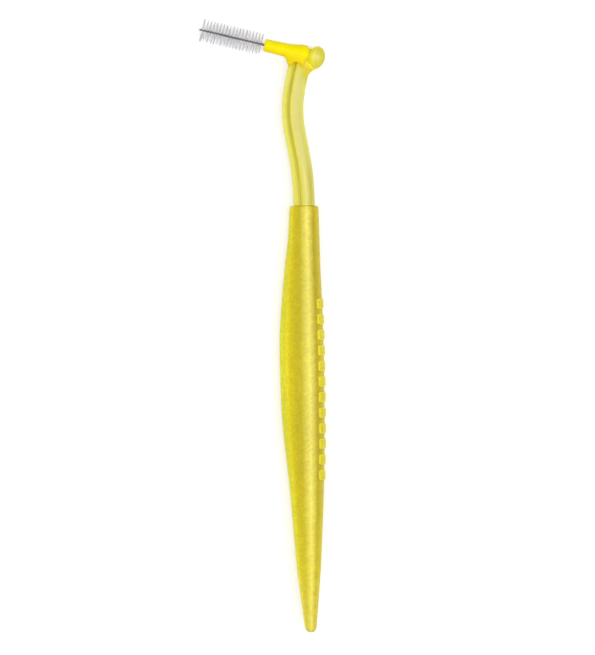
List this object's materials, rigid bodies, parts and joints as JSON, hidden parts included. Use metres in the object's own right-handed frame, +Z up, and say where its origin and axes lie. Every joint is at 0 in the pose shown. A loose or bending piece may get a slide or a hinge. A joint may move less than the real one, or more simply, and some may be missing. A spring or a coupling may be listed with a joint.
{
  "type": "interdental brush",
  "caption": "Long-handled interdental brush with a slim keeled grip, a bent neck with a thumb knob and a click-on angled head of nylon bristles in twisted wire.",
  "frame": {"origin": "on the flat that the grip rests on, under the grip's axis, 52.2 mm from the grip's round end", "axes": "+Y along the handle towards the brush head, -X to the side that the brush points to, +Z up from the surface the brush lies on"},
  "size_m": [0.0283, 0.1384, 0.0081],
  "materials": {
    "grip_plastic": "frosted translucent yellow plastic with a fine grain",
    "neck_plastic": "glossy translucent pale yellow plastic",
    "refill_plastic": "opaque bright yellow plastic, satin",
    "wire_steel": "drawn stainless wire, slightly dull",
    "bristle_nylon": "fine clear nylon filament with a faint lilac cast"
  },
  "bodies": {
    "handle": {"grip": "grip_plastic", "neck": "neck_plastic"},
    "refill": {"refill_body": "refill_plastic", "twisted_wire": "wire_steel", "bristles": "bristle_nylon"}
  },
  "joints": [
    {"name": "refill_slide", "type": "slide", "parent": "handle", "child": "refill", "axis": [-0.9694, 0.2453, 0], "range_m": [0, 0.012]}
  ]
}
